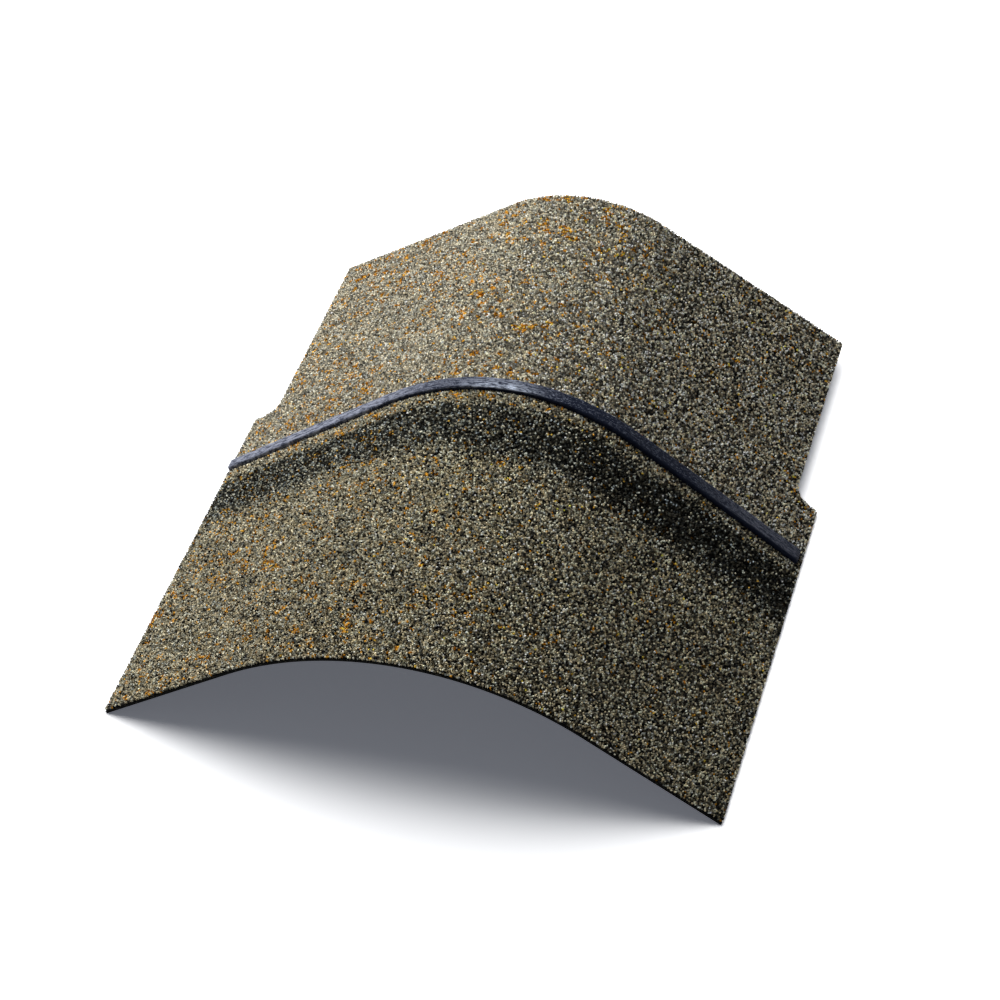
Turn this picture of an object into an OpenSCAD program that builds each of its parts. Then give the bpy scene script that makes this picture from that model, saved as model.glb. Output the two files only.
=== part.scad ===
// Hip and ridge shingle: a granule-surfaced sheet bent over a ridge, with a sealant strip across its top.
// Millimetres, +Z up. The butt edge faces -Y, the head edge +Y, and the ridge line runs along Y above X = 0.
// It stands as it would on a floor, on the side edges of its full-width half.
// The bend is a slice of a cone, broad at the butt and tight at the head. Each wing is a flat plate that
// leaves the cone at a tangent, so the bent sheet unrolls to a flat blank without stretching.

/* [Blank] */
// Width of the flat blank, across the ridge
sheet_w = 305; // [250:1:400]
// Length of the flat blank, butt edge to head edge
sheet_l = 305; // [250:1:400]
// Thickness of the sheet, granules included
sheet_t = 2.8; // [2:0.1:5]

/* [Notches] */
// Butt edge to the shoulder of each side notch
notch_start = 196; // [185:1:235]
// Depth that each notch takes off the side
notch_depth = 12.5; // [6:0.5:25]
// Radius in the inner corner of a notch
notch_fillet = 8.5; // [1:0.5:12]
// Radius on the outer corner of a notch shoulder
shoulder_r = 2; // [0.5:0.5:6]

/* [Bend] */
// Radius of the bend at the butt edge
butt_bend_r = 140; // [110:1:200]
// Radius of the bend at the head edge
head_bend_r = 64; // [40:1:90]
// Angle that each wing turns down from the ridge line
wing_turn = 34.5; // [20:0.5:45]

/* [Sealant strip] */
// Exposed length of the sheet, butt edge to the near side of the strip's middle
exposure = 168; // [120:1:170]
// Distance that the strip's ends lie nearer the butt edge than its middle
strip_fall = 10; // [0:0.5:15]
// Width of the strip
strip_w = 7.5; // [4:0.5:14]
// Height of the strip above the sheet
strip_h = 1.3; // [0.8:0.1:3]
// Distance that the strip stops short of the right side edge
strip_gap = 3; // [2:0.5:20]

/* [Hidden] */
$fn = 180;

// The cone: its half angle, and the flat distance from its apex to each edge along the ridge line.
cone_a = atan((butt_bend_r - head_bend_r) / sheet_l);
butt_dist = butt_bend_r / tan(cone_a);
head_dist = butt_dist - sheet_l;

// Angle between the ridge line and a wing's fold line on the flat blank.
flat_turn = wing_turn * sin(cone_a);

// Slope of the cut planes: each holds one cross line of the blank on both wings.
cut_out = sin(flat_turn) * cos(cone_a);
cut_down = cos(flat_turn) * sin(wing_turn) - sin(flat_turn) * sin(cone_a) * cos(wing_turn);
cut_tilt = atan2(cut_out, cut_down);

// Tilt that lays both side edges of the full-width half on the floor.
edge_rise = cos(flat_turn) * sin(cone_a) * cos(wing_turn) + sin(flat_turn) * sin(wing_turn);
edge_run = cos(flat_turn) * cos(cone_a);
level_tilt = atan2(edge_rise, edge_run);

// Each wing lies this far under the cone's tangent plane, and reaches this many degrees in under the bend,
// so that wing and bend overlap and fuse whatever the rounding. It leaves a step too small to feel.
sink = 0.02;
lap = 0.3;

// Working extents, past everything that is cut.
near = head_dist * 0.75;
far = butt_dist * 1.25;
reach = sheet_w + sheet_l;

notch_r = min(notch_fillet, notch_depth * 0.7);
outer_r = min(shoulder_r, notch_depth * 0.25);

// Where a cut plane through distance d from the apex meets the cone's axis.
function cut_axial(d) =
    d / cos(flat_turn) * (cos(cone_a) + sin(cone_a) * cos(wing_turn) * tan(cut_tilt));

// A point of a wing, d from the apex and u from the ridge on the flat blank, h up: [up, axial].
function wing_point(d, u, h = 0) =
    let (p = d * cos(flat_turn) + u * sin(flat_turn), q = u * cos(flat_turn) - d * sin(flat_turn))
    [(p * sin(cone_a) + (h - sink) * cos(cone_a)) * cos(wing_turn) - q * sin(wing_turn),
     p * cos(cone_a) - (h - sink) * sin(cone_a)];

// The ridge line of the top face where a cut plane crosses it: [up, axial].
function ridge_top(d) =
    let (lift = sheet_t / cos(cone_a),
         axial = (cut_axial(d) - lift * tan(cut_tilt)) / (1 + tan(cone_a) * tan(cut_tilt)))
    [axial * tan(cone_a) + lift, axial];

// The strip's planes tilt more than the cut planes, by what lets its ends fall towards the butt edge.
strip_dist = butt_dist - exposure;
strip_mid = [strip_dist * sin(cone_a) + sheet_t * cos(cone_a),
             strip_dist * cos(cone_a) - sheet_t * sin(cone_a)];
strip_end = wing_point(strip_dist + strip_fall, sheet_w / 2, sheet_t);
strip_tilt = atan2(strip_end[1] - strip_mid[1], strip_mid[0] - strip_end[0]);
strip_deep = strip_w * cos(strip_tilt - cone_a);
strip_axial = strip_mid[1] + strip_mid[0] * tan(strip_tilt) - strip_deep / cos(strip_tilt);

// Row position of an [up, axial] point once the sheet is level.
function level_y(v) = -v[0] * sin(level_tilt) - v[1] * cos(level_tilt);
function level_z(v) = v[0] * cos(level_tilt) - v[1] * sin(level_tilt);

floor_z = level_z(wing_point(butt_dist, sheet_w / 2));
butt_y = level_y(ridge_top(butt_dist));
head_y = level_y(wing_point(head_dist, sheet_w / 2 - notch_depth));

// From the cone's frame, apex at the origin and axis along +Z, to the part's frame.
module seated()
    translate([0, -(butt_y + head_y) / 2, -floor_z])
    rotate([90 + level_tilt, 0, 0])
    children();

// From the flat blank's plane, with x running from the cone's apex and y across the right wing's fold line.
module on_wing()
    rotate([0, 0, -wing_turn])
    rotate([-cone_a, 0, 0])
    rotate([0, -90, -90])
    children();

// The bend, from h0 to h1 above the underside.
module bend(h0, h1)
    intersection() {
        difference() {
            cone_to(h1);
            cone_to(h0);
        }
        linear_extrude(2 * far)
        polygon([
            [0, 0],
            2 * reach * [sin(wing_turn), cos(wing_turn)],
            2 * reach * [-sin(wing_turn), cos(wing_turn)]
        ]);
    }

// Cone whose surface lies h above the sheet's underside.
module cone_to(h)
    translate([0, 0, near])
    cylinder(
        h = far - near,
        r1 = near * tan(cone_a) + h / cos(cone_a),
        r2 = far * tan(cone_a) + h / cos(cone_a)
    );

// The right wing, from h0 to h1 above the underside. inset takes that much more off its side edge.
module wing(h0, h1, inset = 0)
    difference() {
        intersection() {
            on_wing()
            translate([near, -2, h0 - sink])
            cube([far - near, reach, h1 - h0]);
            linear_extrude(2 * far)
            polygon([
                [0, 0],
                2 * reach * [sin(wing_turn - lap), cos(wing_turn - lap)],
                2 * reach * [cos(wing_turn - lap), -sin(wing_turn - lap)]
            ]);
        }
        side_waste(inset);
    }

// One notch of the blank: x from the butt edge, y from the ridge line.
module notch()
    translate([notch_start, sheet_w / 2 - notch_depth]) {
        difference() {
            square([sheet_l, notch_depth + 1]);
            difference() {
                translate([-1, -1])
                square(notch_r + 1);
                translate([notch_r, notch_r])
                circle(notch_r);
            }
        }
        translate([0, notch_depth])
        difference() {
            translate([-outer_r, -outer_r])
            square([outer_r + 1, outer_r + 1]);
            translate([-outer_r, -outer_r])
            circle(outer_r);
        }
    }

// What the blank loses past its right side edge, through the wing. inset takes off that much more.
module side_waste(inset = 0)
    on_wing()
    translate([0, 0, -20])
    linear_extrude(40)
    rotate(-flat_turn)
    translate([butt_dist, 0])
    mirror([1, 0]) {
        translate([-far, sheet_w / 2 - inset])
        square([3 * far, 2 * reach]);
        notch();
    }

// A slab across the sheet, from a plane that meets the cone's axis at axial, tilted from square to it.
module slab(axial, tilt, deep)
    translate([0, 0, axial])
    rotate([-tilt, 0, 0])
    translate([-reach, -2 * reach, 0])
    cube([2 * reach, 4 * reach, deep]);

// The part of the bent sheet that lies in children(), from h0 to h1 above its underside.
module layer(h0, h1, right_inset = 0)
    seated()
    intersection() {
        union() {
            bend(h0, h1);
            wing(h0, h1, right_inset);
            mirror([1, 0, 0])
            wing(h0, h1);
        }
        children();
    }

module shingle_sheet()
    color([0.33, 0.31, 0.25])
    layer(0, sheet_t)
    slab(cut_axial(head_dist), cut_tilt, (cut_axial(butt_dist) - cut_axial(head_dist)) * cos(cut_tilt));

module sealant_strip()
    color([0.08, 0.09, 0.12])
    layer(sheet_t, sheet_t + strip_h, strip_gap)
    slab(strip_axial, strip_tilt, strip_deep);

shingle_sheet();
sealant_strip();
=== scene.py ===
# %% [markdown]
# # A hip and ridge shingle
# A ridge shingle covers the line where two roof slopes meet. It is one sheet of asphalt on a glass mat, cut
# flat, with coloured mineral granules pressed into its top and a bead of sealant laid across it, and it is
# bent over the ridge only when it is nailed down. This script makes it in that order: the flat blank, the
# granules and the bead first, and one bend for all of them at the end.

# %% Load the frame
import math
import random
import bmesh
import bpy
import numpy as np
from mathutils import Matrix, Vector, noise


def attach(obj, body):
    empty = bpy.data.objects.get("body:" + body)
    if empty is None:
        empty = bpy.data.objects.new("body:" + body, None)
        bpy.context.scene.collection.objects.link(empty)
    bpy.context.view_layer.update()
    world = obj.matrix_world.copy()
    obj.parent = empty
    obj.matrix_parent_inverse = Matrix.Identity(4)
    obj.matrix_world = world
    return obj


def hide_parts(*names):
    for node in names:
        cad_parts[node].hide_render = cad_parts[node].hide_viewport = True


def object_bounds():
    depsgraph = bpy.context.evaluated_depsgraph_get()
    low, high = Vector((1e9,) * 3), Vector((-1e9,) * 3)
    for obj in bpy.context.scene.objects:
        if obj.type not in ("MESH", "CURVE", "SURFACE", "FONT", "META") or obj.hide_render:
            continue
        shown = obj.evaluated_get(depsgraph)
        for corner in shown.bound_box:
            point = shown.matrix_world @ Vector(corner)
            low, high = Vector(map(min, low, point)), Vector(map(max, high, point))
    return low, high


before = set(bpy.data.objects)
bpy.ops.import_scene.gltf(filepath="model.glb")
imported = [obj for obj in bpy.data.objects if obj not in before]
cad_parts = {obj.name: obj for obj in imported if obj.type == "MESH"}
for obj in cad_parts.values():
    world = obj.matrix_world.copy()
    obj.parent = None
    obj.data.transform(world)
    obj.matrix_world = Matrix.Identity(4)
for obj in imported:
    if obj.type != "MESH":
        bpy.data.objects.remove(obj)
cad_low, cad_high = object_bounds()
print("CAD nodes:", sorted(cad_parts), "box:", cad_low, cad_high)

# %% [markdown]
# ## Sizes
# The sizes are the product's own: a 305 mm square blank, cut away by 12.5 mm on each side of its head lap
# so that it doesn't show below the next course. They could be measured from the CAD boxes, but a bent sheet's
# box says little about its flat size, so the maker's values are written once here, in metres. The bead's bow
# straightens at about bead_ease from the ridge line.

# %% Sizes of the blank, the bend and the bead
blank_width = 0.305
blank_length = 0.305
full_thickness = 0.0028
asphalt_thickness = 0.0012
notch_start = 0.196
notch_depth = 0.0125
notch_fillet = 0.0085
shoulder_radius = 0.002
half_width = blank_width / 2
narrow_half = half_width - notch_depth
butt_bend_radius = 0.140
head_bend_radius = 0.064
wing_turn = math.radians(34.5)
bead_start = 0.168
bead_fall = 0.010
bead_ease = 0.044
bead_width = 0.0075
bead_height = 0.0013
bead_gap = 0.003
print("blank", blank_width, "x", blank_length, "m,", full_thickness, "m thick")

# %% [markdown]
# ## The bend
# On the roof the sheet takes the shape of a slice of a cone between two flat wings: a wide curve at the
# exposed butt edge, a tight one at the head. A Simple Deform modifier bends on a cylinder only, and a
# lattice would stretch the sheet. A cone unrolls flat, so one function can carry every point of the flat
# blank to its bent place without stretching anything: across is the distance from the ridge line, along
# the distance from the butt edge, and height the distance above the underside. At the end the sheet is
# tilted a little, so that the side edges of its full-width half lie on the floor.

# %% The function that bends the blank
cone_angle = math.atan((butt_bend_radius - head_bend_radius) / blank_length)
apex_distance = butt_bend_radius / math.tan(cone_angle)
fold_angle = wing_turn * math.sin(cone_angle)
rise = (math.cos(fold_angle) * math.sin(cone_angle) * math.cos(wing_turn)
        + math.sin(fold_angle) * math.sin(wing_turn))
level_tilt = math.atan2(rise, math.cos(fold_angle) * math.cos(cone_angle))


def bend(flat):
    """Carries an array of flat points (across, along, height) to the bent sheet, before it is seated."""
    across, along, height = flat[:, 0], flat[:, 1], flat[:, 2]
    down = apex_distance - along
    reach = np.hypot(across, down)
    turn = np.arctan2(across, down)
    side = np.where(turn < 0, -1.0, 1.0)
    around = np.minimum(np.abs(turn), fold_angle) / math.sin(cone_angle) * side
    past_fold = np.maximum(np.abs(turn) - fold_angle, 0.0)
    sin_c, cos_c = math.sin(cone_angle), math.cos(cone_angle)
    ruling = np.stack([sin_c * np.sin(around), sin_c * np.cos(around), np.full_like(around, cos_c)], 1)
    outward = np.stack([np.cos(around), -np.sin(around), np.zeros_like(around)], 1) * side[:, None]
    up = np.stack([cos_c * np.sin(around), cos_c * np.cos(around), np.full_like(around, -sin_c)], 1)
    bent = ((reach * np.cos(past_fold))[:, None] * ruling
            + (reach * np.sin(past_fold))[:, None] * outward + height[:, None] * up)
    s, c = math.sin(level_tilt), math.cos(level_tilt)
    return np.stack([bent[:, 0], -bent[:, 1] * s - bent[:, 2] * c, bent[:, 1] * c - bent[:, 2] * s], 1)


butt_corner, butt_ridge_top, head_corner = bend(np.array([
    [half_width, 0, 0], [0, 0, full_thickness], [narrow_half, blank_length, 0]]))
seat = np.array([0, (butt_ridge_top[1] + head_corner[1]) / 2, butt_corner[2]])
print("cone half angle", round(math.degrees(cone_angle), 2), "deg, seated at", seat)

# %% [markdown]
# ## From a flat piece to a finished one
# Each piece is modelled flat, gets its UV map from its flat place, so that no pattern is stretched by the
# bend, and is then bent as a whole. The map is named OFBake, because the export keeps a map of that name.

# %% Helpers that turn a bmesh into a mesh and read or move its points


def mesh_from(bm, name):
    """Turns a bmesh into a mesh, and frees it."""
    mesh = bpy.data.meshes.new(name)
    bm.to_mesh(mesh)
    bm.free()
    return mesh


def get_points(mesh):
    """The mesh's vertices as an array."""
    points = np.empty(len(mesh.vertices) * 3)
    mesh.vertices.foreach_get("co", points)
    return points.reshape(-1, 3)


def set_points(mesh, points):
    """Moves the mesh's vertices to the places in an array."""
    mesh.vertices.foreach_set("co", points.astype(np.float32).ravel())
    mesh.update()


# %% Helpers that unwrap, bend and hand over a piece


def unwrap_flat(mesh, low, high):
    """Writes the OFBake map: the flat rectangle from low to high fills the unit square."""
    corners = np.empty(len(mesh.loops), dtype=np.int64)
    mesh.loops.foreach_get("vertex_index", corners)
    uv = (get_points(mesh)[corners, :2] - np.array(low)) / (np.array(high) - np.array(low))
    layer = mesh.uv_layers.new(name="OFBake")
    layer.data.foreach_set("uv", uv.astype(np.float32).ravel())


def bend_mesh(mesh):
    """Bends and seats a flat mesh, and keeps it in the CAD box to the last tenth of a millimetre."""
    set_points(mesh, np.clip(bend(get_points(mesh)) - seat, cad_low, cad_high))


def in_scene(name, data):
    """A new object in the scene."""
    thing = bpy.data.objects.new(name, data)
    bpy.context.scene.collection.objects.link(thing)
    return thing


def hand_over(name, mesh, slot, *materials):
    """Makes the finished object, riding on the one body, with its materials. The slot is not used."""
    piece = in_scene(name, mesh)
    mesh.materials.clear()
    for material in materials:
        mesh.materials.append(material)
    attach(piece, "root")
    print(name, len(mesh.polygons), "faces")
    return piece

# %% [markdown]
# ## The asphalt sheet
# The body is a glass mat soaked and coated in asphalt, black wherever it is cut. A cube with a Boolean for
# each notch would do, but eight outline corners and a vertex bevel give the same plate with clean round
# corners. It is then sliced across and along, because a bend only shows where there are edges to bend, and
# solidified to its thickness.

# %% Helpers that cut and slice the blank


def cut_outline(bm, margin=0.0):
    """The blank as one flat face, margin smaller all round, with X across the ridge and Y from the butt."""
    wide, narrow = half_width - margin, narrow_half - margin
    low, high, shoulder = margin, blank_length - margin, notch_start - margin
    corners = [(-wide, low), (wide, low), (wide, shoulder), (narrow, shoulder), (narrow, high),
               (-narrow, high), (-narrow, shoulder), (-wide, shoulder)]
    outline = list(bm.faces.new([bm.verts.new((x, y, 0)) for x, y in corners]).verts)
    bmesh.ops.bevel(bm, geom=[outline[3], outline[6]], offset=notch_fillet, affect="VERTICES", segments=8,
                    profile=0.5, material=-1)
    ends = [v for v in bm.verts if abs(abs(v.co.x) - wide) < 1e-6 and abs(v.co.y - shoulder) < 1e-6]
    bmesh.ops.bevel(bm, geom=ends, offset=shoulder_radius, affect="VERTICES", segments=5, profile=0.5,
                    material=-1)


def slice_flat(bm, axis, low, high, widest):
    """Cuts a mesh across X (axis 0) or Y (axis 1) into even slices, none wider than widest."""
    normal = Vector((1, 0, 0)) if axis == 0 else Vector((0, 1, 0))
    count = math.ceil((high - low) / widest)
    for k in range(1, count):
        bmesh.ops.bisect_plane(bm, geom=bm.verts[:] + bm.edges[:] + bm.faces[:], dist=1e-7,
                               plane_co=normal * (low + k * (high - low) / count), plane_no=normal)


# %% Cut the flat blank
sheet_slice_across, sheet_slice_along = 0.004, 0.006
asphalt_index, back_index = 0, 1
sheet_bm = bmesh.new()
cut_outline(sheet_bm)
slice_flat(sheet_bm, 0, -half_width, half_width, sheet_slice_across)
slice_flat(sheet_bm, 1, 0, blank_length, sheet_slice_along)
bmesh.ops.solidify(sheet_bm, geom=sheet_bm.faces[:], thickness=asphalt_thickness)
bmesh.ops.translate(sheet_bm, vec=(0, 0, -min(v.co.z for v in sheet_bm.verts)), verts=sheet_bm.verts[:])
bmesh.ops.recalc_face_normals(sheet_bm, faces=sheet_bm.faces[:])
sheet_bm.normal_update()
for face in sheet_bm.faces:
    face.material_index = back_index if face.normal.z < -0.5 else asphalt_index
    face.smooth = abs(face.normal.z) > 0.5
sheet_mesh = mesh_from(sheet_bm, "asphalt_sheet")
print("asphalt sheet:", len(sheet_mesh.polygons), "faces,",
      sum(f.material_index == back_index for f in sheet_mesh.polygons), "of them on the back, heights",
      get_points(sheet_mesh)[:, 2].min(), "to", get_points(sheet_mesh)[:, 2].max())

# %% [markdown]
# ## The granules
# The top is packed with crushed stone, each chunk about a millimetre across, dropped on hot asphalt and
# rolled in. A bump pattern would look flat at the silhouette and at the cut edges, so the chunks are real
# meshes. There are some hundred thousand of them, so each kind of chunk is an eight-faced ball, turned at
# random and with its corners knocked about. Geometry Nodes lays them on the flat bed by Poisson disk, which
# keeps them close without overlapping much, and the instances are realized, so that every chunk can follow
# the bend. Each chunk keeps two random numbers and its flat place, for its colour. The knife that cuts the
# blank cuts granules too, so the laid chunks are trimmed to the outline.

# %% Break the kinds of granule
granule_kind_count = 12
granule_half = Vector((0.00062, 0.00054, 0.00068))
least_knock, most_knock = 0.8, 1.2
granule_kinds = bpy.data.collections.new("granule kinds")
chance = random.Random(11)
for _ in range(granule_kind_count):
    chunk = bmesh.new()
    bmesh.ops.create_uvsphere(chunk, u_segments=4, v_segments=2, radius=1)
    tipped = Matrix.Rotation(chance.uniform(0, math.pi), 3, "X")
    tipped = tipped @ Matrix.Rotation(chance.uniform(0, math.pi), 3, "Y")
    bmesh.ops.rotate(chunk, cent=(0, 0, 0), matrix=tipped, verts=chunk.verts[:])
    for v in chunk.verts:
        v.co = Vector([v.co[i] * granule_half[i] * chance.uniform(least_knock, most_knock) for i in range(3)])
    bmesh.ops.recalc_face_normals(chunk, faces=chunk.faces[:])
    granule_kinds.objects.link(bpy.data.objects.new("chunk", mesh_from(chunk, "chunk")))

# %% The flat bed that granules are laid on
bed_margin = 0.0001
bed_height = asphalt_thickness + 0.00065
bed_bm = bmesh.new()
cut_outline(bed_bm, bed_margin)
bmesh.ops.triangulate(bed_bm, faces=bed_bm.faces[:])
bmesh.ops.translate(bed_bm, vec=(0, 0, bed_height), verts=bed_bm.verts[:])
bed = in_scene("granule bed", mesh_from(bed_bm, "granule bed"))
print("bed:", len(bed.data.polygons), "triangles at", bed_height, "m")

# %% Helpers for node trees


def open_group(group, *sockets):
    """Gives a node group its named sockets, and returns its input and output nodes."""
    for label, way, kind in sockets:
        group.interface.new_socket(label, in_out=way, socket_type="NodeSocket" + kind)
    return group.nodes.new("NodeGroupInput"), group.nodes.new("NodeGroupOutput")


def step(tree, kind, settings=(), **inputs):
    """Adds a node to a tree, with its settings and its inputs' values."""
    node = tree.nodes.new(kind)
    for name, value in dict(settings).items():
        setattr(node, name, value)
    for name, value in inputs.items():
        node.inputs[name.replace("_", " ")].default_value = value
    return node


def connect(tree, *pairs):
    """Links each pair's source socket to its target socket."""
    for source, target in pairs:
        tree.links.new(source, target)


def split(tree, vector):
    """The X and Y of a vector."""
    node = step(tree, "ShaderNodeSeparateXYZ")
    tree.links.new(vector, node.inputs[0])
    return node.outputs[0], node.outputs[1]


# %% Helpers for sums in a node tree


def reckon(tree, operation, first, second=None):
    """A Math node on two values, each a socket or a number, and its result."""
    node = step(tree, "ShaderNodeMath", {"operation": operation})
    for socket, value in zip(node.inputs, (first, second)):
        if isinstance(value, bpy.types.NodeSocket):
            tree.links.new(value, socket)
        elif value is not None:
            socket.default_value = value
    return node.outputs[0]


def times(tree, product, *factors):
    """The product of any number of values."""
    for factor in factors:
        product = reckon(tree, "MULTIPLY", product, factor)
    return product


def plus(tree, base, share, value):
    """The base plus a share of the value."""
    return reckon(tree, "ADD", base, reckon(tree, "MULTIPLY", value, share))


fall_scale = bead_fall / (math.hypot(half_width, bead_ease) - bead_ease)


def beside_bead(tree, across, along):
    """Along plus the bead's fall at that place across: constant on lines that run beside the bead."""
    squared = plus(tree, bead_ease ** 2, across, across)
    fall = reckon(tree, "SUBTRACT", reckon(tree, "SQRT", squared), bead_ease)
    return plus(tree, along, fall_scale, fall)


# %% Choose where granules may lie
side_tuck, end_tuck = 0.0004, 0.0002
lay = bpy.data.node_groups.new("lay granules", "GeometryNodeTree")
start, end = open_group(lay, ("Bed", "INPUT", "Geometry"), ("From", "INPUT", "Float"),
                        ("To", "INPUT", "Float"), ("Granules", "OUTPUT", "Geometry"))
bed_spot = step(lay, "GeometryNodeInputPosition").outputs[0]
bed_across, bed_along = split(lay, bed_spot)
in_field = times(lay, reckon(lay, "GREATER_THAN", bed_along, start.outputs["From"]),
                 reckon(lay, "LESS_THAN", bed_along, start.outputs["To"]))
from_bead = reckon(lay, "ABSOLUTE", reckon(lay, "SUBTRACT", beside_bead(lay, bed_across, bed_along),
                                           bead_start + bead_width / 2))
off_bead = reckon(lay, "GREATER_THAN", from_bead, bead_width / 2 - side_tuck)
past_bead = reckon(lay, "GREATER_THAN", bed_across, half_width - bead_gap - end_tuck)
allowed = times(lay, in_field, reckon(lay, "MAXIMUM", off_bead, past_bead))
print("granules keep", round(bead_width - 2 * side_tuck, 4), "m clear for the bead")

# %% Lay, turn and size the granules
granule_spacing = 0.00070
granule_density = 9.0e6
most_tip = 0.4


def random_vector(low, high):
    """A random vector between low and high for each granule."""
    node = step(lay, "FunctionNodeRandomValue", {"data_type": "FLOAT_VECTOR"})
    node.inputs[0].default_value, node.inputs[1].default_value = low, high
    return node.outputs[0]


scatter = step(lay, "GeometryNodeDistributePointsOnFaces", {"distribute_method": "POISSON"},
               Distance_Min=granule_spacing, Density_Max=granule_density, Seed=4)
choose = step(lay, "GeometryNodeSeparateGeometry", {"domain": "POINT"})
kinds = step(lay, "GeometryNodeCollectionInfo", Collection=granule_kinds, Separate_Children=True,
             Reset_Children=True)
tumble = random_vector((-most_tip, -most_tip, 0), (most_tip, most_tip, 2 * math.pi))
grade = random_vector((0.78, 0.78, 0.8), (1.22, 1.22, 1.15))
place = step(lay, "GeometryNodeInstanceOnPoints", Pick_Instance=True)
connect(lay, (start.outputs["Bed"], scatter.inputs["Mesh"]), (scatter.outputs["Points"], choose.inputs[0]),
        (allowed, choose.inputs["Selection"]), (choose.outputs[0], place.inputs["Points"]),
        (kinds.outputs[0], place.inputs["Instance"]), (tumble, place.inputs["Rotation"]),
        (grade, place.inputs["Scale"]))
print("granules at least", granule_spacing, "m apart")

# %% Mark each granule for its colour and make it real
pick, shade = (step(lay, "FunctionNodeRandomValue", {"data_type": "FLOAT"}, Seed=seed) for seed in (21, 22))
marked = place.outputs[0]
for name, kind, value in [("pick", "FLOAT", pick.outputs[1]), ("shade", "FLOAT", shade.outputs[1]),
                          ("spot", "FLOAT_VECTOR", bed_spot)]:
    mark = step(lay, "GeometryNodeStoreNamedAttribute", {"data_type": kind, "domain": "INSTANCE"}, Name=name)
    connect(lay, (marked, mark.inputs["Geometry"]), (value, mark.inputs["Value"]))
    marked = mark.outputs[0]
realize = step(lay, "GeometryNodeRealizeInstances")
connect(lay, (marked, realize.inputs[0]), (realize.outputs[0], end.inputs[0]))
print("laying tree:", len(lay.nodes), "nodes")

# %% Lay five fields and trim them to the outline
field_count = 5
edge_wear = 0.00015


def trim(points):
    """Pushes flat points that stick out of the cut outline, or above the full thickness, back to it."""
    on_shoulder = (points[:, 1] > notch_start) & (np.abs(points[:, 0]) > narrow_half + notch_fillet)
    points[on_shoulder, 1] = notch_start
    below_fillet_end = np.clip(notch_start + notch_fillet - points[:, 1], 0, notch_fillet)
    side = np.where(points[:, 1] > notch_start,
                    narrow_half + notch_fillet - np.sqrt(notch_fillet ** 2 - below_fillet_end ** 2),
                    half_width)
    points[:, 0] = np.clip(points[:, 0], -side, side)
    points[:, 1] = np.clip(points[:, 1], edge_wear, blank_length - edge_wear)
    points[:, 2] = np.minimum(points[:, 2], full_thickness)
    return points


laying = bed.modifiers.new("lay granules", "NODES")
laying.node_group = lay
socket_keys = {s.name: s.identifier for s in lay.interface.items_tree if s.in_out == "INPUT"}
field_edges = [k * blank_length / field_count for k in range(field_count + 1)]
granule_meshes = []
for near, far in zip(field_edges, field_edges[1:]):
    laying[socket_keys["From"]], laying[socket_keys["To"]] = near, far
    bed.update_tag()
    laid = bpy.data.meshes.new_from_object(bed.evaluated_get(bpy.context.evaluated_depsgraph_get()))
    set_points(laid, trim(get_points(laid)))
    granule_meshes.append(laid)
    print("granules from", near, "to", far, "m:", len(laid.polygons), "triangles")
bpy.data.objects.remove(bed)

# %% [markdown]
# ## The sealant bead
# A bead of soft asphalt glue lies across the sheet where the next course will press on it. It is laid hot,
# so its shoulders are round and its width wanders a little. It gets narrower towards its left end, where the
# knife cut it off, spreads a little on the right wing, and stops short of the right edge. It runs in a
# shallow bow, its ends a centimetre nearer the butt than its middle. A curve with a bevel profile would need
# care at its square ends, so it starts as a cube, with its long top edges bevelled, is sliced so that it can
# bend, and a smooth noise moves its vertices by a tenth of a millimetre or two.

# %% Lay the sealant bead
bead_trim = 0.001
bead_sole = asphalt_thickness + 0.0002
bead_shoulder = 0.0012
bead_slice_across, bead_slice_along = 0.0016, 0.0009
bead_low = Vector((-half_width + bead_trim, bead_start, bead_sole))
bead_high = Vector((half_width - bead_gap, bead_start + bead_width, full_thickness + bead_height))
bead_middle, bead_size = (bead_low + bead_high) / 2, bead_high - bead_low
bead_bm = bmesh.new()
bmesh.ops.create_cube(bead_bm, size=1,
                      matrix=Matrix.Translation(bead_middle) @ Matrix.Diagonal((*bead_size, 1)))
long_edges = [e for e in bead_bm.edges if abs(e.verts[0].co.x - e.verts[1].co.x) > half_width
              and e.verts[0].co.z > bead_middle.z]
bmesh.ops.bevel(bead_bm, geom=long_edges, offset=bead_shoulder, affect="EDGES", segments=6, profile=0.5,
                material=-1)
slice_flat(bead_bm, 0, bead_low.x, bead_high.x, bead_slice_across)
slice_flat(bead_bm, 1, bead_low.y, bead_high.y, bead_slice_along)
bmesh.ops.recalc_face_normals(bead_bm, faces=bead_bm.faces[:])
print("bead:", len(bead_bm.faces), "faces, from", bead_low[:], "to", bead_high[:])

# %% Let the bead wander and fall
side_wander, top_wander, top_ripple = 0.00022, 0.00012, 0.00010
left_taper, right_spread, spread_reach = 0.0009, 0.0005, 0.06


def wobble(v, per_metre_across, per_metre_along, layer):
    """A smooth noise at a vertex; each layer is another pattern."""
    return noise.noise(Vector((v.co.x * per_metre_across, v.co.y * per_metre_along, layer)))


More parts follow.
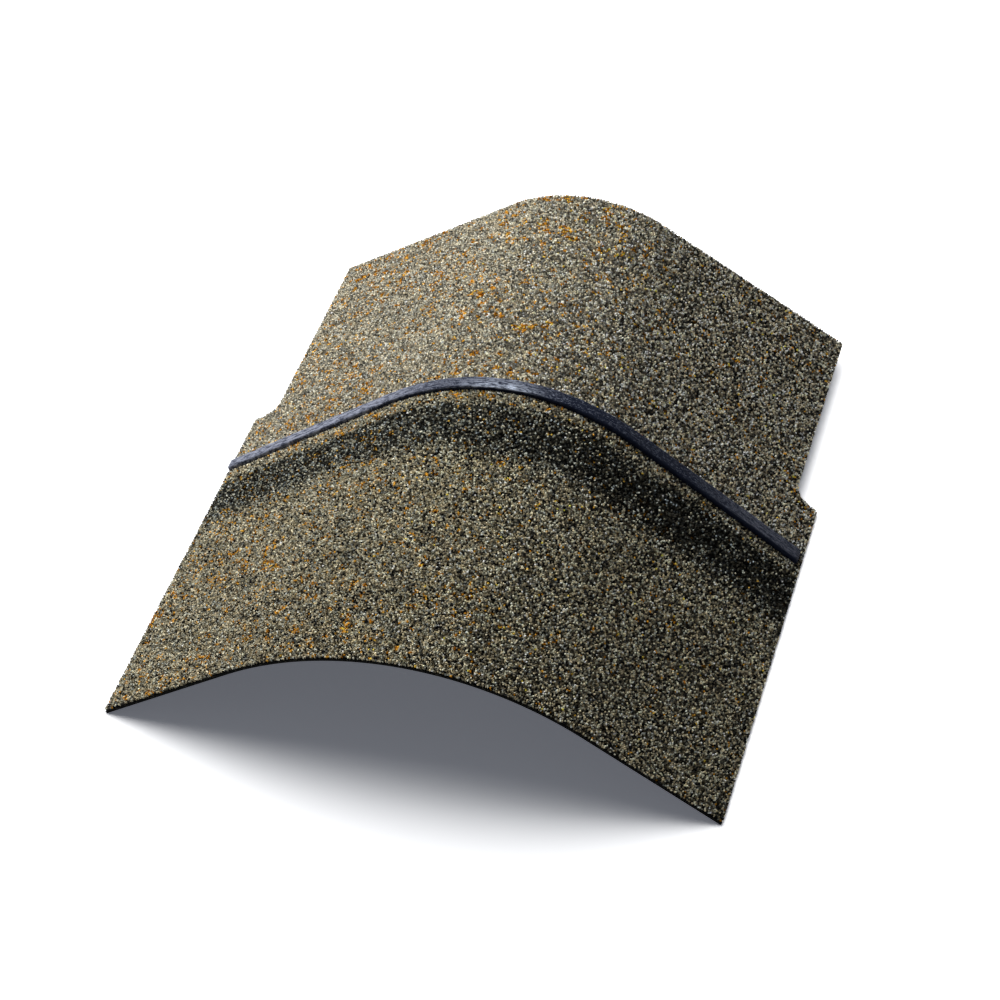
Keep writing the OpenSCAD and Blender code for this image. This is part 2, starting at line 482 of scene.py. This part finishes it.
for v in bead_bm.verts:
    if v.co.z > bead_middle.z:
        wander, ripple = wobble(v, 260, 420, 3.1), wobble(v, 90, 1400, 8.4)
        inward = (bead_middle.y - v.co.y) / (bead_width / 2)
        thinner = (-left_taper * min(v.co.x / blank_width, 0)
                   - right_spread * min(max(v.co.x / spread_reach, 0), 1))
        v.co.y += inward * (side_wander * (0.5 + wander) + thinner)
        v.co.z -= top_wander * (0.5 + 0.5 * wander) + top_ripple * (0.5 + 0.5 * ripple)
for face in bead_bm.faces:
    face.smooth = abs(face.normal.x) < 0.7
bead_mesh = mesh_from(bead_bm, "sealant_bead")
unwrap_flat(bead_mesh, bead_low[:2], bead_high[:2])
bead_points = get_points(bead_mesh)
bead_points[:, 1] -= fall_scale * (np.hypot(bead_points[:, 0], bead_ease) - bead_ease)
set_points(bead_mesh, bead_points)
print("bead:", bead_points[:, 1].min(), "to", bead_points[:, 1].max(), "m from the butt edge")

# %% [markdown]
# ## Shared grain
# Asphalt, sand, stone and glue all carry a fine grain, at different scales. It is one node group, placed in
# each material with its own values: it gives a height for a Bump node and a mask for colour and roughness.

# %% The grain group
grain_group = bpy.data.node_groups.new("mineral grain", "ShaderNodeTree")
grain_in, grain_out = open_group(
    grain_group, ("Vector", "INPUT", "Vector"), ("Scale", "INPUT", "Float"), ("Speck", "INPUT", "Float"),
    ("Height", "OUTPUT", "Float"), ("Specks", "OUTPUT", "Float"))
soft_grain = step(grain_group, "ShaderNodeTexNoise", Detail=3.0, Roughness=0.6)
cells = step(grain_group, "ShaderNodeTexVoronoi", {"feature": "F1"})
for label in ("Vector", "Scale"):
    connect(grain_group, (grain_in.outputs[label], soft_grain.inputs[label]),
            (grain_in.outputs[label], cells.inputs[label]))
cell_value = step(grain_group, "ShaderNodeSeparateColor")
grain_group.links.new(cells.outputs["Color"], cell_value.inputs[0])
is_speck = reckon(grain_group, "LESS_THAN", cell_value.outputs[0], grain_in.outputs["Speck"])
connect(grain_group, (soft_grain.outputs[0], grain_out.inputs["Height"]),
        (is_speck, grain_out.inputs["Specks"]))
print("group", grain_group.name, "ready")

# %% Helpers for materials


def new_material(name, **settings):
    """A material with a Principled shader; settings are values on the shader's own sockets."""
    material = bpy.data.materials.new(name)
    material.use_nodes = True
    shader = material.node_tree.nodes["Principled BSDF"]
    for label, value in settings.items():
        shader.inputs[label.replace("_", " ")].default_value = value
    return material, material.node_tree, shader


def object_place(tree):
    """Object coordinates, in metres."""
    return step(tree, "ShaderNodeTexCoord").outputs["Object"]


def flat_map(tree):
    """The piece's own OFBake map."""
    return step(tree, "ShaderNodeUVMap", {"uv_map": "OFBake"}).outputs[0]


def grain(tree, scale, speck):
    """Places the grain group on Object coordinates: its height, and its mask with a share of specks."""
    node = step(tree, "ShaderNodeGroup", {"node_tree": grain_group}, Scale=scale, Speck=speck)
    tree.links.new(object_place(tree), node.inputs["Vector"])
    return node.outputs["Height"], node.outputs["Specks"]


def cloud(tree, vector, **inputs):
    """A noise texture's value."""
    node = step(tree, "ShaderNodeTexNoise", **inputs)
    tree.links.new(vector, node.inputs["Vector"])
    return node.outputs[0]


# %% Helpers for tones and finishes


def ease(tree, value, low, high, out_low=0.0, out_high=1.0, kind="SMOOTHSTEP"):
    """A Map Range node, smooth by default."""
    node = step(tree, "ShaderNodeMapRange", {"interpolation_type": kind}, From_Min=low, From_Max=high,
                To_Min=out_low, To_Max=out_high)
    tree.links.new(value, node.inputs[0])
    return node.outputs[0]


def blend_colour(tree, factor, first, second, mode="MIX"):
    """A Mix node on two colours, each a socket or an RGB triple, and its result."""
    node = step(tree, "ShaderNodeMix", {"data_type": "RGBA", "blend_type": mode, "clamp_result": True})
    for socket, value in ((node.inputs[0], factor), (node.inputs[6], first), (node.inputs[7], second)):
        if isinstance(value, bpy.types.NodeSocket):
            tree.links.new(value, socket)
        elif isinstance(value, (int, float)):
            socket.default_value = value
        else:
            socket.default_value = (*value, 1)
    return node.outputs[2]


def finish_surface(tree, shader, colour, roughness, height, bump_depth):
    """Feeds a colour, a roughness and a bump height to the shader."""
    bump = step(tree, "ShaderNodeBump", Distance=bump_depth, Strength=1.0)
    connect(tree, (colour, shader.inputs["Base Color"]), (roughness, shader.inputs["Roughness"]),
            (height, bump.inputs["Height"]), (bump.outputs[0], shader.inputs["Normal"]))


# %% [markdown]
# ## Granule colours
# The blend is made by dropping stones of a few kinds: grey-green and tan for most, some cream, charcoal and
# olive, and a few ochre ones that fall in loose clumps. Below the bead, more charcoal stones make a shadow
# line. The head lap has a slightly lighter blend. The crown is painted a little lighter than the wings, as
# painted light, and small patches of chunks are painted darker or lighter, as painted shade between the
# chunks, most of all on the right wing, where the light grazes. A noise texture alone would smear colours
# over neighbouring chunks, so the colour comes from each chunk's own random number, and the zones from its
# flat place.

# %% Pick a stone for each chunk
blend = [(0.00, (0.018, 0.018, 0.018)),  # charcoal
         (0.09, (0.120, 0.108, 0.078)),  # olive
         (0.20, (0.375, 0.322, 0.205)),  # tan
         (0.44, (0.424, 0.413, 0.322)),  # grey-green
         (0.70, (0.520, 0.450, 0.305)),  # light tan
         (0.84, (0.402, 0.423, 0.392)),  # cool grey
         (0.90, (0.700, 0.620, 0.440)),  # cream
         (0.97, (0.860, 0.800, 0.610))]  # pale cream
granule_paint, tree, shader = new_material("granules", Specular_IOR_Level=0.01)
picked, shaded = (step(tree, "ShaderNodeAttribute", {"attribute_name": name}).outputs["Fac"]
                  for name in ("pick", "shade"))
flat_spot = step(tree, "ShaderNodeAttribute", {"attribute_name": "spot"}).outputs["Vector"]
stones = step(tree, "ShaderNodeValToRGB")
tree.links.new(picked, stones.inputs[0])
stones.color_ramp.interpolation = "CONSTANT"
for share, stone in blend[1:]:
    stones.color_ramp.elements.new(share).color = (*stone, 1)
stones.color_ramp.elements[0].color = (*blend[0][1], 1)
stones.color_ramp.elements[-1].color = (*blend[-1][1], 1)
print("stones:", len(blend))

# %% Drop the ochre stones in loose clumps


def reshuffle(tree, value, stretch):
    """Another random number, made from the first."""
    return reckon(tree, "FRACT", reckon(tree, "MULTIPLY", value, stretch))


dark_ochre, light_ochre = (0.60, 0.23, 0.014), (0.66, 0.37, 0.060)
across, along = split(tree, flat_spot)
level_along = beside_bead(tree, across, along)
patches = cloud(tree, flat_spot, Scale=22.0, Detail=2.0)
clumps = cloud(tree, flat_spot, Scale=300.0, Detail=1.0)
by_bead = times(tree, ease(tree, level_along, 0.155, 0.163), ease(tree, level_along, 0.170, 0.178, 1.0, 0.0))
ochre_share = times(
    tree, ease(tree, patches, 0.36, 0.66, 0.22, 0.75), ease(tree, clumps, 0.56, 0.64, 0.03, 1.0),
    ease(tree, across, -0.03, 0.08, 1.0, 0.35), ease(tree, along, 0.15, 0.18, 0.6, 1.0),
    plus(tree, 1.0, 0.25, by_bead))
ochre = reckon(tree, "LESS_THAN", reshuffle(tree, picked, 57.31), ochre_share)
ochre_tone = blend_colour(tree, shaded, dark_ochre, light_ochre)
print("ochre from", dark_ochre, "to", light_ochre)

# %% Mark the head lap and the shadow line
lap_grey = (0.42, 0.40, 0.315)
head_lap = ease(tree, level_along, 0.160, 0.178)
lap_share = times(tree, head_lap, ease(tree, across, -0.02, 0.09, 0.22, 0.0))
stone_colour = blend_colour(tree, lap_share, stones.outputs[0], lap_grey)
stone_colour = blend_colour(tree, ochre, stone_colour, ochre_tone)
ragged_along = plus(tree, level_along, 0.012, reckon(tree, "SUBTRACT", patches, 0.5))
shadow_line = times(tree, ease(tree, ragged_along, 0.122, 0.140),
                    ease(tree, ragged_along, 0.1565, 0.1625, 1, 0))
charcoal_share = times(tree, shadow_line, ease(tree, across, -0.01, 0.06, 0.54, 0.74))
charcoal = reckon(tree, "LESS_THAN", reshuffle(tree, picked, 23.17), charcoal_share)
print("zones marked with", len(tree.nodes), "nodes")

# %% Set how light each stone is
mottle, _ = grain(tree, 2600.0, 0.0)
own_tone = ease(tree, shaded, 0, 1, 0.54, 1.54, "LINEAR")
lap_gain = plus(tree, 0.20, -0.20, ochre)
# Painted shade: small patches of chunks are painted darker or lighter, most strongly on the right wing, where
# the light grazes.
painted_shade_patches = ease(tree, cloud(tree, flat_spot, Scale=620.0, Detail=1.0), 0.40, 0.60)
painted_shade_depth = ease(tree, across, -0.04, 0.07, 0.25, 0.85)
# Painted light: the crown is painted a little lighter than the wings.
painted_crown_light = times(tree, ease(tree, across, -0.075, -0.01), ease(tree, across, 0.00, 0.07, 1.0, 0.0))
level = times(
    tree, plus(tree, 1.0, -0.15, shadow_line), plus(tree, 1.0, -0.88, charcoal), own_tone,
    plus(tree, 1.0, lap_gain, head_lap),
    plus(tree, 1.0, times(tree, painted_shade_depth, 2.0), reckon(tree, "SUBTRACT", painted_shade_patches, 0.5)),
    plus(tree, 0.95, 0.17, painted_crown_light), ease(tree, mottle, 0.3, 0.7, 0.82, 1.15, "LINEAR"))
print("tones set with", len(tree.nodes), "nodes")

# %% Cool the shadow line and finish the granules
less_red = ease(tree, shadow_line, 0, 1, 1.0, 0.92, "LINEAR")
more_blue = times(tree, ease(tree, shadow_line, 0, 1, 1.0, 1.13, "LINEAR"),
                  ease(tree, head_lap, 0, 1, 1.0, 1.05, "LINEAR"))
level_colour = step(tree, "ShaderNodeCombineColor")
connect(tree, (times(tree, level, less_red), level_colour.inputs[0]), (level, level_colour.inputs[1]),
        (times(tree, level, more_blue), level_colour.inputs[2]))
stone_colour = blend_colour(tree, 1.0, stone_colour, level_colour.outputs[0], "MULTIPLY")
finish_surface(tree, shader, stone_colour, ease(tree, mottle, 0.3, 0.7, 0.6, 0.9), mottle, 0.00006)
print("granule material:", len(tree.nodes), "nodes")

# %% [markdown]
# ## Asphalt and sanded back
# Cut asphalt is dull black with a fine grain. Between the granules of the head lap it is greyer, partly from
# stone dust and partly as painted light, on the left wing and the crown only, fading out over the right wing.
# The back is dusted with fine sand, so that stacked shingles don't stick, and looks brownish grey. Both use
# the grain group; the dust and painted light read the sheet's own UV map, because they keep to one part of
# the flat blank.

# %% The asphalt material
raw_asphalt, asphalt_speck, dust_and_light_grey = (0.006, 0.006, 0.006), (0.035, 0.033, 0.028), (0.13, 0.13, 0.11)
asphalt_paint, tree, shader = new_material("asphalt", Specular_IOR_Level=0.01)
asphalt_grain, asphalt_specks = grain(tree, 1800.0, 0.08)
sheet_across, sheet_along = split(tree, flat_map(tree))
# Partly stone dust, partly painted light: the head lap's gaps are lighter on the lit left side and fade out
# over the right wing.
lap_band = ease(tree, sheet_along, 0.52, 0.60)
dust_and_light = reckon(tree, "SUBTRACT", lap_band, times(tree, lap_band, ease(tree, sheet_across, 0.40, 0.75)))
asphalt_colour = blend_colour(tree, asphalt_specks, raw_asphalt, asphalt_speck)
asphalt_colour = blend_colour(tree, dust_and_light, asphalt_colour, dust_and_light_grey)
finish_surface(tree, shader, asphalt_colour, ease(tree, asphalt_grain, 0.3, 0.7, 0.45, 0.75), asphalt_grain,
               0.00025)
print("asphalt material:", len(tree.nodes), "nodes")

# %% The sanded back
back_asphalt, sand, back_blotch = (0.050, 0.047, 0.043), (0.24, 0.215, 0.175), (0.065, 0.060, 0.056)
back_paint, tree, shader = new_material("sanded_back", Specular_IOR_Level=0.05)
back_grain, sand_specks = grain(tree, 2400.0, 0.42)
blotches = ease(tree, cloud(tree, object_place(tree), Scale=26.0, Detail=3.0), 0.4, 0.65, 0.0, 0.45)
back_colour = blend_colour(tree, sand_specks, back_asphalt, sand)
back_colour = blend_colour(tree, blotches, back_colour, back_blotch)
finish_surface(tree, shader, back_colour, ease(tree, back_grain, 0.3, 0.7, 0.75, 0.95),
               plus(tree, back_grain, 0.6, sand_specks), 0.0002)
print("back material:", len(tree.nodes), "nodes")

# %% [markdown]
# ## Sealant finish
# The glue is blue-black, with fine streaks along its length where the nozzle drew it. Its left half and its
# right end carry a lighter film that is partly dust and partly painted sheen, the crown a painted sheen
# patch, and pale flecks are painted glints. The film, the sheen and the glints keep to its top, so that its
# front side stays dark as painted shade. The streaks follow the bead over the bend, so they read its own UV
# map, which a Mapping node stretches to dashes of a few millimetres.

# %% Streak the sealant and paint its dust and sheen


def stretched(tree, vector, scale):
    """The vector scaled by a Mapping node."""
    node = step(tree, "ShaderNodeMapping", Scale=scale)
    tree.links.new(vector, node.inputs[0])
    return node.outputs[0]


glue, dust_and_sheen_colour = (0.010, 0.014, 0.029), (0.245, 0.26, 0.325)
sealant_paint, tree, shader = new_material("sealant", Specular_IOR_Level=0.02)
bead_map = flat_map(tree)
lengthwise, crosswise = split(tree, bead_map)
streaks = cloud(tree, stretched(tree, bead_map, (70.0, 7.0, 1.0)), Scale=1.0, Detail=5.0, Roughness=0.65)
glue_grain, glint_specks = grain(tree, 1700.0, 0.14)
# Partly dust, partly painted sheen: a lighter film on the left half and near the right end, where the lamp's
# reflection shows.
dust_and_sheen = times(tree, ease(tree, lengthwise, 0.28, 0.40, 0.95, 0.36),
              ease(tree, lengthwise, 0.50, 0.60, 1.0, 0.05))
dust_and_sheen = reckon(tree, "ADD", dust_and_sheen, ease(tree, lengthwise, 0.78, 0.92, 0.0, 0.42))
# Painted shade: the front of the bead is kept dark, over a wider band towards the right, and only the top
# takes the lighter film, sheen and glints.
shaded_front = ease(tree, lengthwise, 0.45, 0.62, 0.08, 0.20)
lit_top = ease(tree, reckon(tree, "DIVIDE", crosswise, shaded_front), 0.2, 1.0)
dust_and_sheen_film = times(tree, dust_and_sheen, ease(tree, streaks, 0.42, 0.58, 0.15, 1.1),
             ease(tree, glue_grain, 0.35, 0.65, 0.6, 1.2, "LINEAR"), lit_top)
sealant_colour = blend_colour(tree, dust_and_sheen_film, glue, dust_and_sheen_colour)
print("sealant film:", len(tree.nodes), "nodes")

# %% Paint a sheen on the crown and glints on the sealant
sheen_colour, glint_colour = (0.58, 0.65, 0.78), (0.20, 0.225, 0.29)
# Painted sheen: a pale patch on the crown stands in for the lamp's reflection.
painted_sheen = times(tree, ease(tree, lengthwise, 0.42, 0.48), ease(tree, lengthwise, 0.51, 0.56, 1.0, 0.0),
               ease(tree, streaks, 0.42, 0.58), ease(tree, crosswise, 0.15, 0.65, 1.0, 0.28), lit_top)
sealant_colour = blend_colour(tree, painted_sheen, sealant_colour, sheen_colour)
# Painted glints: small pale flecks stand in for sparkles of light on the glue's top, fewer towards the right.
glint_dashes = cloud(tree, stretched(tree, bead_map, (170.0, 13.0, 1.0)), Scale=1.0, Detail=2.0)
painted_glints = reckon(tree, "MAXIMUM", times(tree, glint_specks, 0.4), ease(tree, glint_dashes, 0.58, 0.66, 0.0, 0.9))
painted_glints = times(tree, painted_glints, ease(tree, lit_top, 0.0, 1.0, 0.08, 1.0),
               ease(tree, lengthwise, 0.56, 0.64, 1.0, 0.65))
sealant_colour = blend_colour(tree, painted_glints, sealant_colour, glint_colour)
finish_surface(tree, shader, sealant_colour, ease(tree, streaks, 0.35, 0.7, 0.48, 0.26),
               plus(tree, glue_grain, 1.5, streaks), 0.0003)
print("sealant material:", len(tree.nodes), "nodes")

# %% [markdown]
# ## Bend and hand over
# Every flat mesh gets its map and then the one bend. The sheet and the five fields of granules stand for the
# CAD sheet, and the bead for the CAD strip.

# %% Bend every piece
map_margin = 0.001
unwrap_flat(sheet_mesh, (-half_width, 0), (half_width, blank_length))
bend_mesh(sheet_mesh)
sheet = hand_over("asphalt_sheet", sheet_mesh, "granule_sheet", asphalt_paint, back_paint)
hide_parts("shingle_sheet")
for k, granule_mesh in enumerate(granule_meshes):
    unwrap_flat(granule_mesh, (-half_width, field_edges[k] - map_margin),
                (half_width, field_edges[k + 1] + map_margin))
    bend_mesh(granule_mesh)
    hand_over(f"granules_{k + 1}", granule_mesh, "granule_sheet", granule_paint)
bend_mesh(bead_mesh)
bead = hand_over("sealant_bead", bead_mesh, "sealant", sealant_paint)
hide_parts("sealant_strip")

# %% [markdown]
# ## Floor, light and camera
# The shingle stands on a plain pale floor. A soft lamp stands high behind its left side, so the left wing is
# bright and the right wing dark. The shadow that the arch throws forward should be short and soft, so the
# floor has a larger lamp of its own, a little higher, by light linking: the first lamp lights everything but
# the floor, the second only the floor. A faint sky fills the rest. The floor and the sky look white to the
# camera without adding light to the object: the floor glows faintly near the shingle, where the shadow
# falls, and fully further off, and two diffuse shaders are added so that what is lit shows white. It is clear
# from beneath, so that the back can be looked at too.

# %% The floor
floor_bm = bmesh.new()
bmesh.ops.create_grid(floor_bm, x_segments=1, y_segments=1, size=4)
floor = in_scene("floor", mesh_from(floor_bm, "floor"))
print("floor:", floor.dimensions.x, "m wide")

# %% The floor's material


def seen_directly(tree):
    """1 for camera, glossy and transmission rays, which should see the white background."""
    path = step(tree, "ShaderNodeLightPath")
    seen = reckon(tree, "MAXIMUM", path.outputs["Is Camera Ray"], path.outputs["Is Glossy Ray"])
    return reckon(tree, "MAXIMUM", seen, path.outputs["Is Transmission Ray"])


floor_paint = bpy.data.materials.new("floor")
floor_paint.use_nodes = True
tree = floor_paint.node_tree
tree.nodes.remove(tree.nodes["Principled BSDF"])
lit, bright, faint = (step(tree, "ShaderNodeBsdfDiffuse", Color=(grey, grey, grey, 1))
                      for grey in (0.78, 1.0, 0.5))
glow = step(tree, "ShaderNodeEmission", Color=(0.90, 0.95, 1.10, 1))
away = step(tree, "ShaderNodeVectorMath", {"operation": "LENGTH"})
tree.links.new(object_place(tree), away.inputs[0])
brighter, both = step(tree, "ShaderNodeAddShader"), step(tree, "ShaderNodeAddShader")
from_above, whole = step(tree, "ShaderNodeMixShader"), step(tree, "ShaderNodeMixShader")
connect(tree, (ease(tree, away.outputs["Value"], 0.45, 1.0, 0.12, 1.2), glow.inputs["Strength"]),
        (bright.outputs[0], brighter.inputs[0]), (faint.outputs[0], brighter.inputs[1]),
        (brighter.outputs[0], both.inputs[0]), (glow.outputs[0], both.inputs[1]),
        (seen_directly(tree), from_above.inputs[0]), (lit.outputs[0], from_above.inputs[1]),
        (both.outputs[0], from_above.inputs[2]),
        (step(tree, "ShaderNodeNewGeometry").outputs["Backfacing"], whole.inputs[0]),
        (from_above.outputs[0], whole.inputs[1]),
        (step(tree, "ShaderNodeBsdfTransparent").outputs[0], whole.inputs[2]),
        (whole.outputs[0], tree.nodes["Material Output"].inputs["Surface"]))
floor.data.materials.append(floor_paint)
print("floor material:", len(tree.nodes), "nodes")

# %% The sky
sky = bpy.data.worlds.new("studio")
bpy.context.scene.world = sky
sky.use_nodes = True
tree = sky.node_tree
fill = tree.nodes["Background"]
fill.inputs["Color"].default_value = (0.86, 0.91, 1.0, 1)
fill.inputs["Strength"].default_value = 0.05
white = step(tree, "ShaderNodeBackground", Color=(1, 1, 1, 1), Strength=1.0)
sky_mix = step(tree, "ShaderNodeMixShader")
connect(tree, (seen_directly(tree), sky_mix.inputs[0]), (fill.outputs[0], sky_mix.inputs[1]),
        (white.outputs[0], sky_mix.inputs[2]),
        (sky_mix.outputs[0], tree.nodes["World Output"].inputs["Surface"]))
print("sky fill:", fill.inputs["Strength"].default_value)

# %% The lamps
lamp_distance = 1.5
lamp_aim = Vector((0, 0, 0.04))


def softbox(name, toward, size, power):
    """A square area lamp in the direction toward, aimed at the shingle."""
    data = bpy.data.lights.new(name, "AREA")
    data.shape, data.size, data.energy = "SQUARE", size, power
    direction = Vector(toward).normalized()
    lamp = in_scene(name, data)
    lamp.location = direction * lamp_distance + lamp_aim
    lamp.rotation_mode = "QUATERNION"
    lamp.rotation_quaternion = direction.to_track_quat("Z", "Y")
    return lamp


key = softbox("key", (-0.62, 0.43, 0.66), 0.7, 38)
floor_key = softbox("floor key", (-0.24, 0.43, 0.87), 1.8, 40)
for lamp, state in ((key, "EXCLUDE"), (floor_key, "INCLUDE")):
    receivers = bpy.data.collections.new(lamp.name + " receivers")
    receivers.objects.link(floor)
    receivers.collection_objects[0].light_linking.link_state = state
    lamp.light_linking.receiver_collection = receivers
    print(lamp.name, "at", lamp.location[:], "W", lamp.data.energy)

# %% The camera
azimuth, elevation, roll = math.radians(18.0), math.radians(42.54), math.radians(-3.02)
camera_aim, camera_distance = Vector((-0.0023, 0.0014, 0.0175)), 1.76
forward = Vector((-math.sin(azimuth) * math.cos(elevation), math.cos(azimuth) * math.cos(elevation),
                  -math.sin(elevation)))
level_right = Vector((math.cos(azimuth), math.sin(azimuth), 0))
level_up = level_right.cross(forward)
right = math.cos(roll) * level_right + math.sin(roll) * level_up
up = -math.sin(roll) * level_right + math.cos(roll) * level_up
camera_data = bpy.data.cameras.new("camera")
camera_data.lens, camera_data.sensor_width = 141.0, 36.0
camera = in_scene("camera", camera_data)
camera.matrix_world = (Matrix.Translation(camera_aim - forward * camera_distance)
                       @ Matrix((right, up, -forward)).transposed().to_4x4())
bpy.context.scene.camera = camera
bpy.context.scene.view_settings.view_transform = "Standard"
print("camera at", camera.matrix_world.translation[:])
